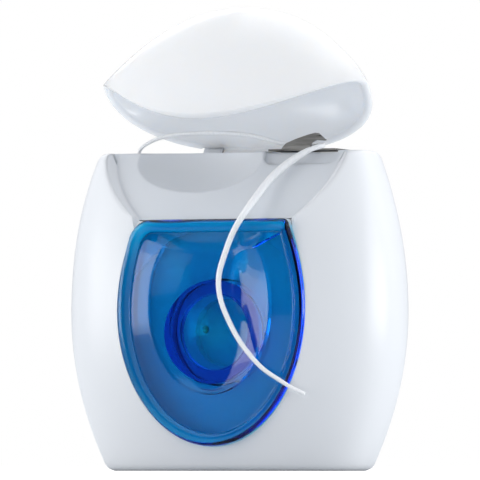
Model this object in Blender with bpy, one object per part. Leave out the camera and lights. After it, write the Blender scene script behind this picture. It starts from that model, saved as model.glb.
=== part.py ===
"""Flip-top dental floss dispenser, built as separate moulded and stamped pieces.

Origin: centre of the flat base. +Z up, the window faces -Y, +X is to the viewer's right.
Shapes are drawn in millimetres and scaled to metres at the end.
The lid is drawn closed and then turned about its hinge to the open rest position.
"""

import math

import bmesh
import bpy
from mathutils import Matrix, Vector

for ob in list(bpy.data.objects):
    bpy.data.objects.remove(ob, do_unlink=True)

# ---------------------------------------------------------------- driving dimensions (mm)
MM = 0.001
GAP = 0.3

# case
DECK_Z = 47.4
MID_Z = 23.7
HALF_W_MID = 26.0
DROP_W_TOP = 4.6
DROP_W_BOTTOM = 5.8
DEPTH_MID = 12.5
DROP_FRONT_TOP = 5.7
DROP_FRONT_BOTTOM = 2.9
DROP_BACK_TOP = 1.1
DROP_BACK_BOTTOM = 1.7
PLAN_POWER = 2.6
PLAN_POWER_TOP = 3.8
WALL = 1.4
SEAM_Y = 8.5

# slanted scoop in front of the deck
SCOOP_FOOT = Vector((0.0, -9.222, 37.308))
SCOOP_UP = Vector((0.0, 0.493, 0.870)).normalized()
SCOOP_OUT = Vector((0.0, -0.870, 0.493)).normalized()
SCOOP_LENGTH = 11.6
SCOOP_HALF_LOW = 12.2
SCOOP_HALF_RISE = 5.8
SCOOP_DRAFT = 1.0
SCOOP_FILLET = 1.5
PLATE_SHIFT = Vector((0.0, 0.9, -1.3))
DIP_CENTRE = (-4.6, -7.8, 48.6)
DIP_RADII = (12.8, 6.8, 7.3)

# window insert
WIN_HALF = 14.9
WIN_MID_Z = 24.0
WIN_LOW = 20.3
WIN_TOP = 13.15
WIN_TAPER = 2.9
WIN_CORNER = 1.0
WIN_CORNER_CUT = 3.0
WIN_RIM_Y = -11.7
WIN_FLAT_Y = -12.1
SHELF_Y = (-8.5, -7.6)
SHELF_R = 15.4
SHELF_LEVELS = (1.2, 4.0, 9.0, 15.0, 21.0, 27.0, 32.0, 36.7)
LEDGE_Y = (-10.2, -9.2)
DISH_DEPTH = 1.3
FLAT_HALF = 9.6
FLAT_UP = 12.5
SMILE_UP = 8.2
SMILE_RISE = 0.8
SMILE_HALF = 7.3
FLAT_DOWN = 12.7

# spool on its axis
AXIS_Z = 20.5
HUB_R = 7.7
HUB_BORE_R = 5.75
HUB_END_Y = -7.6
POST_END_Y = -5.8
POST_BORE_R = 5.1
POST_WEB_Y = (-4.4, -3.2)
SPOOL_BORE_R = 8.0
SPOOL_CORE_R = 9.5
SPOOL_R = 16.4
SPOOL_Y = (-7.0, 8.0)
FLANGE = 0.8
WOUND_R = 15.7

# lid and hinge
HINGE_Y = 9.2
HINGE_Z = DECK_Z
LID_OPEN_DEG = 42.0
LID_HALF = 21.25
LID_MID_Y = -5.25
LID_BACK = 14.1
LID_FRONT = 8.55
LID_PLAN_FRONT = 1.82
LID_PLAN_BACK = 2.3
LID_LIP = 13.7
LID_LIP_POWER = 1.885
LID_HEIGHT = 11.1
LID_PEAK_Y = -8.0
LID_WALL = 1.3
LID_LIFT = 0.2
# roundness of the dome in plan and in height, at the front, the sides and the back
LID_FRONT_POWERS = (4.5, 3.3)
LID_SIDE_POWERS = (2.35, 1.12)
LID_BACK_POWERS = (2.0, 2.0)
KNUCKLE_R = 1.35
PIN_R = 0.75
BARREL_HALF = 5.7
KNUCKLE_X = (6.0, 9.0)

# cutter and floss
CUTTER_T = 0.3
TOOTH_Y = -3.3
FLOSS_R = 0.4
HOLE = (-16.4, 0.5)
HOLE_R = 0.9


# ---------------------------------------------------------------- helpers
def make_object(name, bm):
    bmesh.ops.recalc_face_normals(bm, faces=bm.faces)
    mesh = bpy.data.meshes.new(name)
    bm.to_mesh(mesh)
    bm.free()
    ob = bpy.data.objects.new(name, mesh)
    bpy.context.scene.collection.objects.link(ob)
    return ob


def loft(name, loops, closed_tube=False):
    """Skin closed loops of equal length; flat ends are filled unless the tube closes on itself."""
    bm = bmesh.new()
    rows = [[bm.verts.new(p) for p in loop] for loop in loops]
    n = len(rows[0])
    pairs = list(zip(rows, rows[1:]))
    if closed_tube:
        pairs.append((rows[-1], rows[0]))
    for a, b in pairs:
        for i in range(n):
            bm.faces.new((a[i], a[(i + 1) % n], b[(i + 1) % n], b[i]))
    if not closed_tube:
        bm.faces.new(rows[0])
        bm.faces.new(list(reversed(rows[-1])))
    return make_object(name, bm)


def loft_with_tips(name, loops, first_tip, last_tip):
    """Skin loops and close both ends with a fan to a point."""
    bm = bmesh.new()
    rows = [[bm.verts.new(p) for p in loop] for loop in loops]
    n = len(rows[0])
    for a, b in zip(rows, rows[1:]):
        for i in range(n):
            bm.faces.new((a[i], a[(i + 1) % n], b[(i + 1) % n], b[i]))
    tip = bm.verts.new(first_tip)
    for i in range(n):
        bm.faces.new((tip, rows[0][(i + 1) % n], rows[0][i]))
    tip = bm.verts.new(last_tip)
    for i in range(n):
        bm.faces.new((tip, rows[-1][i], rows[-1][(i + 1) % n]))
    return make_object(name, bm)


def box(name, low, high):
    bm = bmesh.new()
    bmesh.ops.create_cube(bm, size=1.0)
    low, high = Vector(low), Vector(high)
    for v in bm.verts:
        v.co = Vector(low[i] + (v.co[i] + 0.5) * (high[i] - low[i]) for i in range(3))
    return make_object(name, bm)


def rod_x(name, x0, x1, y, z, r, sides=20):
    loops = [
        [
            (x, y + r * math.cos(2 * math.pi * i / sides), z + r * math.sin(2 * math.pi * i / sides))
            for i in range(sides)
        ]
        for x in (x0, x1)
    ]
    return loft(name, loops)


def rod_z(name, x, y, z0, z1, r, sides=20):
    loops = [
        [
            (x + r * math.cos(2 * math.pi * i / sides), y + r * math.sin(2 * math.pi * i / sides), z)
            for i in range(sides)
        ]
        for z in (z0, z1)
    ]
    return loft(name, loops)


def turned_y(name, profile, z_axis, sides):
    """Turn a closed profile of (radius, y) about the line x = 0, z = z_axis."""
    loops = []
    for i in range(sides):
        a = 2 * math.pi * i / sides
        loops.append([(r * math.cos(a), y, z_axis + r * math.sin(a)) for r, y in profile])
    return loft(name, loops, closed_tube=True)


def boolean(ob, cutter, operation="DIFFERENCE", keep=False):
    mod = ob.modifiers.new("cut", "BOOLEAN")
    mod.solver = "EXACT"
    mod.operation = operation
    mod.object = cutter
    bpy.context.view_layer.update()
    deps = bpy.context.evaluated_depsgraph_get()
    mesh = bpy.data.meshes.new_from_object(ob.evaluated_get(deps))
    ob.modifiers.remove(mod)
    bm = bmesh.new()
    bm.from_mesh(mesh)
    bmesh.ops.remove_doubles(bm, verts=bm.verts, dist=0.003)
    bmesh.ops.dissolve_degenerate(bm, edges=bm.edges, dist=0.001)
    bm.to_mesh(mesh)
    bm.free()
    ob.data = mesh
    if not keep:
        bpy.data.objects.remove(cutter, do_unlink=True)
    return ob


def clone(ob, name):
    other = ob.copy()
    other.data = ob.data.copy()
    other.name = name
    bpy.context.scene.collection.objects.link(other)
    return other


def material(name, colour, roughness, metallic=0.0, transmission=0.0, ior=1.49):
    mat = bpy.data.materials.new(name)
    mat.use_nodes = True
    bsdf = mat.node_tree.nodes["Principled BSDF"]
    bsdf.inputs["Base Color"].default_value = (*colour, 1.0)
    bsdf.inputs["Roughness"].default_value = roughness
    bsdf.inputs["Metallic"].default_value = metallic
    bsdf.inputs["Transmission Weight"].default_value = transmission
    bsdf.inputs["IOR"].default_value = ior
    return mat


def finish(ob, name, mat, angle=35.0, parent=None):
    """Name, clean, scale to metres, colour and shade one piece."""
    bm = bmesh.new()
    bm.from_mesh(ob.data)
    bmesh.ops.remove_doubles(bm, verts=bm.verts, dist=0.004)
    bmesh.ops.dissolve_degenerate(bm, edges=bm.edges, dist=0.002)
    bmesh.ops.triangulate(bm, faces=bm.faces)
    bm.to_mesh(ob.data)
    bm.free()
    ob.data.transform(Matrix.Scale(MM, 4))
    ob.name = name
    ob.data.name = name
    ob.data.materials.clear()
    ob.data.materials.append(mat)
    ob.data.shade_smooth()
    ob.data.set_sharp_from_angle(angle=math.radians(angle))
    if parent is not None:
        ob.parent = parent
    return ob


def signed_power(value, power):
    return math.copysign(abs(value) ** power, value)


# ---------------------------------------------------------------- case outline
def half_width(z):
    if z > MID_Z:
        return HALF_W_MID - DROP_W_TOP * ((z - MID_Z) / (DECK_Z - MID_Z)) ** 2
    return HALF_W_MID - DROP_W_BOTTOM * ((MID_Z - z) / MID_Z) ** 2


def depth_front(z):
    if z > 22.0:
        return DEPTH_MID - DROP_FRONT_TOP * ((z - 22.0) / 25.4) ** 2.2
    return DEPTH_MID - DROP_FRONT_BOTTOM * ((22.0 - z) / 22.0) ** 2


def depth_back(z):
    if z > MID_Z:
        return DEPTH_MID - DROP_BACK_TOP * ((z - MID_Z) / (DECK_Z - MID_Z)) ** 2
    return DEPTH_MID - DROP_BACK_BOTTOM * ((MID_Z - z) / MID_Z) ** 2


def case_ring(z, inset, count=60, shape_z=None):
    s = z if shape_z is None else shape_z
    a = half_width(s) - inset
    bf = depth_front(s) - inset
    bb = depth_back(s) - inset
    front = PLAN_POWER + (PLAN_POWER_TOP - PLAN_POWER) * (max(s - 26.0, 0.0) / (DECK_Z - 26.0)) ** 1.5
    ring = []
    for i in range(count):
        t = 2 * math.pi * i / count
        c, n = math.cos(t), math.sin(t)
        power = PLAN_POWER if n > 0 else front
        y = signed_power(n, 2 / power) * (bb if n > 0 else bf)
        ring.append((a * signed_power(c, 2 / power), y, z))
    return ring


def case_envelope(name):
    levels = [(0.0, 0.9), (0.3, 0.3), (1.0, 0.0)]
    levels += [(z, 0.0) for z in (4.0, 7.5, 11.0, 15.0, 19.0, 23.0, 27.0, 31.0, 35.0, 38.5, 41.5, 44.0, 46.3)]
    levels += [(47.0, 0.2), (DECK_Z, 0.7)]
    return loft(name, [case_ring(z, inset) for z, inset in levels])


def scoop_half(v):
    if v <= 0.0:
        return SCOOP_HALF_LOW
    f = min(v, SCOOP_LENGTH) / SCOOP_LENGTH
    return SCOOP_HALF_LOW + SCOOP_HALF_RISE * (1 - (1 - f) ** 1.9)


def scoop_prism(name, levels, steps=9, v_low=-3.0, v_high=14.0):
    """Solid on the scoop plane between its two creases; levels = (height off the plane, sideways growth)."""
    vs = [v_low] + [SCOOP_LENGTH * k / steps for k in range(steps + 1)] + [v_high]
    loops = []
    for n, grow in levels:
        right = [(scoop_half(v) + grow, v) for v in vs]
        left = [(-x, v) for x, v in reversed(right)]
        loops.append([SCOOP_FOOT + Vector((x, 0, 0)) + SCOOP_UP * v + SCOOP_OUT * n for x, v in right + left])
    return loft(name, loops)


def scoop_levels():
    """The scoop's floor runs into its side walls through a fillet."""
    lean = math.atan2(1.0, SCOOP_DRAFT)
    run = SCOOP_FILLET * math.tan(lean / 2)
    levels = []
    for k in range(4):
        a = lean * k / 3
        levels.append((SCOOP_FILLET * (1 - math.cos(a)), SCOOP_FILLET * math.sin(a) - run))
    n, grow = levels[-1]
    levels.append((7.0, grow + (7.0 - n) * SCOOP_DRAFT))
    return levels


def scoop_block(name, x0, x1, v0, v1, n0, n1):
    loops = []
    for n in (n0, n1):
        loops.append(
            [SCOOP_FOOT + Vector((x, 0, 0)) + SCOOP_UP * v + SCOOP_OUT * n for x, v in ((x0, v0), (x1, v0), (x1, v1), (x0, v1))]
        )
    return loft(name, loops)


def finger_dip(name):
    bm = bmesh.new()
    bmesh.ops.create_uvsphere(bm, u_segments=28, v_segments=16, radius=1.0)
    for v in bm.verts:
        v.co = Vector(DIP_CENTRE[i] + DIP_RADII[i] * v.co[i] for i in range(3))
    return make_object(name, bm)


def deck_region(name, inset, z0, z1):
    return loft(name, [case_ring(z, inset, shape_z=46.6) for z in (z0, z1)])


# ---------------------------------------------------------------- window outline
def window_loop(inset, y, taper_flange=False):
    """D outline: flat top, one corner rounded and the other cut back, bulging sides, elliptical foot."""
    half = WIN_HALF - inset
    low = WIN_LOW - inset
    top = WIN_MID_Z + WIN_TOP - inset

    def side(z):
        return half - WIN_TAPER * (max(z - WIN_MID_Z, 0.0) / WIN_TOP) ** 1.9

    def shoulder(corner, power):
        rise = [WIN_MID_Z + (top - corner - WIN_MID_Z) * (k + 1) / 5 for k in range(5)]
        pts = [(side(z), z) for z in rise]
        cx = side(top - corner) - corner
        for k in range(1, 5):
            a = math.pi / 2 * k / 4
            pts.append((cx + corner * abs(math.cos(a)) ** power, top - corner + corner * math.sin(a) ** power))
        return pts, cx

    right, cx = shoulder(max(WIN_CORNER - 0.4 * inset, 0.3), 1.0)
    left, cut = shoulder(max(WIN_CORNER_CUT - 0.55 * inset, 0.3), 1.25)
    points = []
    for k in range(31):
        a = math.pi * k / 30
        points.append((-half * math.cos(a), WIN_MID_Z - low * math.sin(a)))
    points += right
    points += [(cx - (cx + cut) * k / 6, top) for k in range(1, 6)]
    points += [(-x, z) for x, z in reversed(left)]
    if taper_flange:
        plain = window_loop(0.0, y)
        mixed = []
        for (x, z), (px, _, pz) in zip(points, plain):
            w = min(max((35.5 - z) / 3.0, 0.0), 1.0)
            mixed.append((px + (x - px) * w, y, pz + (z - pz) * w))
        return mixed
    return [(x, y, z) for x, z in points]


MITRE = math.atan2(SMILE_UP + SMILE_RISE, SMILE_HALF)
MITRE_RIGHT, MITRE_LEFT = 37, 47


def dish_angles():
    """Angle on the dish's edge for each point of the D outline; the top corners run to the two mitres."""
    raw = [math.atan2(z - WIN_MID_Z, x) for x, _, z in window_loop(0.0, 0.0)]
    first, last = raw[MITRE_RIGHT], raw[MITRE_LEFT]
    out = []
    for i, a in enumerate(raw):
        if i <= 30 or a <= 0.0:
            out.append(a)
        elif a < first:
            out.append(a / first * MITRE)
        elif a <= last:
            out.append(MITRE + (a - first) / (last - first) * (math.pi - 2 * MITRE))
        else:
            out.append(math.pi - MITRE + (a - last) / (math.pi - last) * MITRE)
    return out


DISH_ANGLES = dish_angles()


def flat_loop(scale, y):
    """Outline of the dished middle, one point for each point of the D outline; its top edge sags between the mitres."""
    loop = []
    for a in DISH_ANGLES:
        c, n = math.cos(a), math.sin(a)
        if n > 0 and MITRE < a < math.pi - MITRE:
            bow = SMILE_RISE / SMILE_HALF**2 * c * c
            r = 2 * SMILE_UP / (n + math.sqrt(n * n - 4 * bow * SMILE_UP))
        else:
            up, power = (FLAT_UP, 2.3) if n > 0 else (FLAT_DOWN, 2.0)
            r = ((abs(c) / FLAT_HALF) ** power + (abs(n) / up) ** power) ** (-1 / power)
        loop.append((scale * r * c, y, WIN_MID_Z + scale * r * n))
    return loop


def dish_front(x, z):
    """Front face of the dish: a trough that is flat in the middle and slopes evenly up to its edge on both sides."""
    dz = z - WIN_MID_Z
    up, power, fall = (FLAT_UP, 2.3, 0.0) if dz > 0 else (FLAT_DOWN, 2.0, 0.5)
    wide = max(1 - (abs(dz) / up) ** power, 0.0) ** (1 / power)
    if wide < 0.01:
        return WIN_FLAT_Y
    low, high = 0.4, 0.62

    def run(u):
        if u <= low:
            return 0.0
        if u >= high:
            return (high - low) / 2 + (u - high)
        t = (u - low) / (high - low)
        return (high - low) * (t**3 - t**4 / 2)

    u = min(abs(x) / (FLAT_HALF * wide), 1.0)
    return WIN_FLAT_Y + DISH_DEPTH * wide**fall * (1 - run(u) / run(1.0))


def dish_loop(scale, back=0.0):
    return [(x, dish_front(x, z) + back, z) for x, _, z in flat_loop(scale, 0.0)]


def edge_loop(scale, back):
    """Loop just outside the dish's edge, at the depth that the dish has at its edge."""
    inner = flat_loop(1.0, 0.0)
    return [(x, dish_front(px, pz) + back, z) for (x, _, z), (px, _, pz) in zip(flat_loop(scale, 0.0), inner)]


def hub_loop(radius, y=None, back=1.2):
    """Circle round the spool's axis; without y it lies behind the front of the dish."""
    loop = []
    for x, _, z in flat_loop(1.0, 0.0):
        a = math.atan2(z - AXIS_Z, x)
        x, z = radius * math.cos(a), AXIS_Z + radius * math.sin(a)
        loop.append((x, dish_front(x, z) + back if y is None else y, z))
    return loop


# ---------------------------------------------------------------- lid surface
def lid_rim(phi, inset):
    s, c = math.sin(phi), math.cos(phi)
    half = LID_HALF - inset
    power = LID_PLAN_FRONT if c >= 0 else LID_PLAN_BACK
    x = half * signed_power(s, 2 / power)
    if c >= 0:
        y = LID_MID_Y - (LID_FRONT - inset) * abs(c) ** (2 / power)
        z = -LID_LIP * (1 - min(abs(x / half), 1.0) ** LID_LIP_POWER)
    else:
        y = LID_MID_Y + (LID_BACK - inset) * abs(c) ** (2 / power)
        z = 0.0
    return x, y, z


def lid_loop(f, inset, count=64):
    """Loop at fraction f from the rim (0) to the crown (1)."""
    loop = []
    for i in range(count):
        phi = -math.pi + 2 * math.pi * i / count
        x, y, z = lid_rim(phi, inset)
        c = math.cos(phi)
        end = LID_FRONT_POWERS if c >= 0 else LID_BACK_POWERS
        plan, rise = (s + (e - s) * c * c for s, e in zip(LID_SIDE_POWERS, end))
        r = math.cos(f * math.pi / 2) ** (2 / plan)
        h = math.sin(f * math.pi / 2) ** (2 / rise)
        top = LID_HEIGHT - inset
        loop.append((x * r, LID_PEAK_Y + (y - LID_PEAK_Y) * r, DECK_Z + LID_LIFT + z + (top - z) * h))
    return loop


# ---------------------------------------------------------------- smooth route for the floss
def smooth_route(points, step):
    """Natural cubic spline through the points by chord length, read at even steps."""
    pts = [Vector(p) for p in points]
    t = [0.0]
    for a, b in zip(pts, pts[1:]):
        t.append(t[-1] + (b - a).length)
    n = len(pts)
    h = [t[i + 1] - t[i] for i in range(n - 1)]
    second = [[0.0] * n for _ in range(3)]
    for k in range(3):
        y = [p[k] for p in pts]
        lower, diag, rhs = [0.0] * n, [1.0] * n, [0.0] * n
        upper = [0.0] * n
        for i in range(1, n - 1):
            lower[i] = h[i - 1]
            diag[i] = 2 * (h[i - 1] + h[i])
            upper[i] = h[i]
            rhs[i] = 6 * ((y[i + 1] - y[i]) / h[i] - (y[i] - y[i - 1]) / h[i - 1])
        for i in range(1, n):
            w = lower[i] / diag[i - 1]
            diag[i] -= w * upper[i - 1]
            rhs[i] -= w * rhs[i - 1]
        m = [0.0] * n
        m[-1] = rhs[-1] / diag[-1]
        for i in range(n - 2, -1, -1):
            m[i] = (rhs[i] - upper[i] * m[i + 1]) / diag[i]
        second[k] = m

    def at(u):
        i = 0
        while i < n - 2 and u > t[i + 1]:
            i += 1
        a, b = (t[i + 1] - u) / h[i], (u - t[i]) / h[i]
        return Vector(
            a * pts[i][k] + b * pts[i + 1][k] + ((a**3 - a) * second[k][i] + (b**3 - b) * second[k][i + 1]) * h[i] ** 2 / 6
            for k in range(3)
        )

    fine = [at(t[-1] * i / 2000) for i in range(2001)]
    run = [0.0]
    for a, b in zip(fine, fine[1:]):
        run.append(run[-1] + (b - a).length)
    count = max(2, round(run[-1] / step))
    out, j = [], 0
    for i in range(count + 1):
        want = run[-1] * i / count
        while j < 1999 and run[j + 1] < want:
            j += 1
        span = run[j + 1] - run[j]
        out.append(fine[j].lerp(fine[j + 1], min(max((want - run[j]) / span, 0.0), 1.0)))
    return out


def strand(name, points, radius, mat):
    curve = bpy.data.curves.new(name, "CURVE")
    curve.dimensions = "3D"
    curve.bevel_depth = radius * MM
    curve.bevel_resolution = 2
    curve.use_fill_caps = True
    spline = curve.splines.new("POLY")
    spline.points.add(len(points) - 1)
    for sp, p in zip(spline.points, points):
        sp.co = (p[0] * MM, p[1] * MM, p[2] * MM, 1.0)
    ob = bpy.data.objects.new(name, curve)
    ob.data.materials.append(mat)
    bpy.context.scene.collection.objects.link(ob)
    return ob


# ---------------------------------------------------------------- materials
WHITE = material("case_white", (0.86, 0.87, 0.89), 0.28)
WHITE_BACK = material("back_white", (0.86, 0.87, 0.89), 0.3)
WHITE_TOP = material("top_white", (0.78, 0.80, 0.83), 0.3)
WHITE_LID = material("lid_white", (0.88, 0.89, 0.90), 0.25)
BLUE = material("window_blue", (0.0, 0.12, 0.42), 0.08, 0.0, 0.85)
STEEL = material("cutter_steel", (0.40, 0.39, 0.37), 0.35, 1.0)
SPOOL_MAT = material("spool_natural", (0.80, 0.82, 0.84), 0.45)
FLOSS_MAT = material("floss_wound_white", (0.90, 0.92, 0.94), 0.6)
FEED_MAT = material("floss_feed_white", (0.90, 0.92, 0.94), 0.6)
STRAND_MAT = material("floss_strand_white", (0.92, 0.94, 0.96), 0.55)

# ---------------------------------------------------------------- case shells and top insert
envelope = case_envelope("envelope")
boolean(envelope, scoop_prism("scoop", scoop_levels()))
boolean(envelope, finger_dip("dip"))

under = clone(envelope, "under")
under.data.transform(Matrix.Translation(PLATE_SHIFT))

plate = clone(envelope, "plate")
region = deck_region("region", WALL + 0.15, 45.0, 50.0)
boolean(region, scoop_prism("panel", [(-5.5, 0.0), (3.0, 0.0)], 7, -3.1, 14.2), "UNION")
boolean(plate, region, "INTERSECT")
boolean(plate, under)
boolean(plate, box("below", (-30, -20, 30), (30, -4, 37.55)))

cavity_levels = [(1.5, WALL + 0.7), (2.3, WALL), (6.0, WALL), (11.0, WALL), (16.0, WALL), (21.0, WALL), (26.0, WALL)]
cavity_levels += [(31.0, WALL), (35.0, WALL), (39.0, WALL), (42.5, WALL), (46.0, WALL)]
cavity = loft("cavity", [case_ring(z, inset) for z, inset in cavity_levels])
boolean(cavity, scoop_prism("flank", [(-1.6, 1.5), (6.5, 1.5 + 6.5 * SCOOP_DRAFT)], 11, -0.6, 14.4))
shell = envelope
boolean(shell, loft("window_hole", [window_loop(-GAP, -16.3), window_loop(-GAP, -4.4)]))
boolean(shell, cavity)
boolean(shell, deck_region("deck_hole", WALL - 0.15, 44.7, 50.0))
boolean(shell, scoop_prism("panel_hole", [(-6.0, GAP), (4.0, GAP)], 7, -0.22, 14.3))
boolean(shell, box("hinge_hole", (-9.4, 8.9, 45.75), (9.4, 14.0, 50.0)))

front = clone(shell, "front")
boolean(front, box("rear_half", (-40, SEAM_Y - GAP / 2, -5), (40, 40, 60)))
back = shell
boolean(back, box("front_half", (-40, -40, -5), (40, SEAM_Y + GAP / 2, 60)))
post = turned_y(
    "post",
    [(POST_BORE_R, POST_END_Y), (HUB_R, POST_END_Y), (HUB_R, 11.6), (POST_BORE_R, 11.6)],
    AXIS_Z,
    36,
)
boolean(back, post, "UNION")
web = [[(x, y, z) for x, _, z in hub_loop(POST_BORE_R + 0.5, 0.0)] for y in POST_WEB_Y]
boolean(back, loft("web", web), "UNION")
boolean(back, box("slot", (-4.6, -5.2, 20.3), (-3.2, -2.6, 21.9)))

# narrow ledge behind the rim of the window
ledge = loft(
    "ledge",
    [
        window_loop(-0.9, LEDGE_Y[0], taper_flange=True),
        window_loop(-0.9, LEDGE_Y[1], taper_flange=True),
        window_loop(1.0, LEDGE_Y[1]),
        window_loop(1.0, LEDGE_Y[0]),
    ],
    closed_tube=True,
)
boolean(front, ledge, "UNION")

# shelf in front of the spool, seen through the window outside the spool's rim
shelf = loft("shelf", [case_ring(z, WALL - 0.4) for z in SHELF_LEVELS])
boolean(shelf, box("slab", (-40, SHELF_Y[0], -5), (40, SHELF_Y[1], 60)), "INTERSECT")
boolean(shelf, loft("shelf_hole", [[(x, y, z) for x, _, z in hub_loop(SHELF_R, 0.0)] for y in (-12.0, -5.0)]))
boolean(front, shelf, "UNION")

# hinge knuckles, cutter seat and floss hole of the top insert
boolean(plate, rod_x("barrel_room", -5.95, 5.95, HINGE_Y, HINGE_Z, KNUCKLE_R + GAP))
for side in (-1, 1):
    x0, x1 = sorted((side * KNUCKLE_X[0], side * KNUCKLE_X[1]))
    boolean(plate, rod_x("knuckle", x0, x1, HINGE_Y, HINGE_Z, KNUCKLE_R), "UNION")
boolean(plate, rod_x("pin_hole", -9.6, 9.6, HINGE_Y, HINGE_Z, PIN_R + 0.2))
boolean(plate, scoop_block("front_pocket", 5.6, 17.4, 9.35, 14.0, -0.5, 3.0))
boolean(plate, box("seat", (5.6, -8.0, 47.12), (17.0, 3.0, 49.0)))
boolean(plate, rod_z("floss_hole", HOLE[0], HOLE[1], 44.0, 50.0, HOLE_R))

finish(front, "case_front", WHITE)
finish(back, "case_back", WHITE_BACK)
finish(plate, "top_insert", WHITE_TOP)

# ---------------------------------------------------------------- window insert
rim_y = WIN_RIM_Y
loops = [dish_loop(f) for f in (0.2, 0.4, 0.55, 0.7, 0.85, 0.985)]
loops += [
    edge_loop(1.03, 0.08),
    window_loop(2.0, rim_y + 0.65),
    window_loop(1.65, rim_y + 0.3),
    window_loop(1.2, rim_y + 0.03),
    window_loop(0.75, rim_y),
    window_loop(0.25, rim_y + 0.15),
    window_loop(0.0, rim_y + 0.6),
    window_loop(0.0, rim_y + 1.0),
    window_loop(0.2, rim_y + 1.2),
    window_loop(1.4, rim_y + 1.2),
    window_loop(2.1, rim_y + 1.75),
    edge_loop(1.0, 1.25),
    dish_loop(0.93, 1.2),
    hub_loop(HUB_R),
    hub_loop(HUB_R - 0.25, HUB_END_Y),
    hub_loop(HUB_BORE_R, HUB_END_Y),
    hub_loop(HUB_BORE_R - 0.1),
    hub_loop(HUB_BORE_R * 0.5, back=0.85),
]
insert = loft_with_tips("insert", loops, (0, dish_front(0, WIN_MID_Z), WIN_MID_Z), (0, dish_front(0, AXIS_Z) + 0.6, AXIS_Z))
finish(insert, "window_insert", BLUE, 28.0)

# ---------------------------------------------------------------- spool and wound floss (they turn about their own axis)
spool_pivot = bpy.data.objects.new("spool_pivot", None)
spool_pivot.location = (0, 0, AXIS_Z * MM)
bpy.context.scene.collection.objects.link(spool_pivot)
y0, y1 = SPOOL_Y
spool = turned_y(
    "spool_body",
    [
        (SPOOL_BORE_R, y0),
        (SPOOL_R, y0),
        (SPOOL_R, y0 + FLANGE),
        (SPOOL_CORE_R, y0 + FLANGE),
        (SPOOL_CORE_R, y1 - FLANGE),
        (SPOOL_R, y1 - FLANGE),
        (SPOOL_R, y1),
        (SPOOL_BORE_R, y1),
    ],
    0.0,
    36,
)
finish(spool, "spool", SPOOL_MAT, parent=spool_pivot)
wound = turned_y(
    "wound",
    [
        (SPOOL_CORE_R + GAP, y0 + FLANGE + GAP),
        (WOUND_R - 0.5, y0 + FLANGE + GAP),
        (WOUND_R, y0 + FLANGE + 1.2),
        (WOUND_R, y1 - FLANGE - 1.2),
        (WOUND_R - 0.5, y1 - FLANGE - GAP),
        (SPOOL_CORE_R + GAP, y1 - FLANGE - GAP),
    ],
    0.0,
    36,
)
finish(wound, "floss_winding", FLOSS_MAT, parent=spool_pivot)

# ---------------------------------------------------------------- lid, drawn closed about the hinge line
hinge_pivot = bpy.data.objects.new("hinge_pivot", None)
hinge_pivot.location = (0, HINGE_Y * MM, HINGE_Z * MM)
hinge_pivot.rotation_euler = (math.radians(-LID_OPEN_DEG), 0, 0)
bpy.context.scene.collection.objects.link(hinge_pivot)
steps = [0.0, 0.05, 0.12, 0.2, 0.3, 0.42, 0.55, 0.68, 0.8, 0.9, 0.97]
outer = [lid_loop(f, 0.0) for f in steps]
inner = [lid_loop(f, LID_WALL) for f in steps]
lid = loft_with_tips(
    "lid_shell",
    list(reversed(inner)) + outer,
    (0, LID_PEAK_Y, DECK_Z + LID_LIFT + LID_HEIGHT - LID_WALL),
    (0, LID_PEAK_Y, DECK_Z + LID_LIFT + LID_HEIGHT),
)
for side in (-1, 1):
    x0, x1 = sorted((side * BARREL_HALF, side * (KNUCKLE_X[1] + 0.35)))
    boolean(lid, rod_x("knuckle_room", x0, x1, HINGE_Y, HINGE_Z, KNUCKLE_R + GAP))
boolean(lid, rod_x("barrel", -BARREL_HALF, BARREL_HALF, HINGE_Y, HINGE_Z, KNUCKLE_R), "UNION")
boolean(lid, rod_x("pins", -(KNUCKLE_X[1] - 0.3), KNUCKLE_X[1] - 0.3, HINGE_Y, HINGE_Z, PIN_R), "UNION")
lid.data.transform(Matrix.Translation((0, -HINGE_Y, -HINGE_Z)))
finish(lid, "lid", WHITE_LID, parent=hinge_pivot)

# ---------------------------------------------------------------- cutter: base plate with a tooth bent up at its front edge
tooth = [
    (8.0, 47.5),
    (8.2, 47.9),
    (8.8, 48.55),
    (10.3, 49.15),
    (12.2, 49.75),
    (13.4, 50.05),
    (14.0, 50.0),
    (14.7, 49.4),
    (15.25, 48.95),
    (15.0, 48.85),
    (13.7, 48.95),
    (12.95, 48.6),
    (12.6, 47.9),
    (12.6, 47.5),
]
loops = [[(x, y, z) for x, z in tooth] for y in (TOOTH_Y, TOOTH_Y + CUTTER_T)]
cutter = loft("cutter_tooth", loops)
base = box("cutter_base", (6.0, TOOTH_Y + 0.05, 47.42), (16.6, 2.6, 47.42 + CUTTER_T))
boolean(cutter, base, "UNION")
finish(cutter, "cutter", STEEL, 25.0)

# ---------------------------------------------------------------- floss
feed = [(HOLE[0] + 0.25, 0.5, AXIS_Z + 1.0), (HOLE[0] + 0.2, 0.5, 30.0), (HOLE[0] + 0.05, 0.5, 40.0), (HOLE[0], 0.5, 46.1)]
strand("floss_feed", smooth_route(feed, 2.4), FLOSS_R, FEED_MAT)

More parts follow.
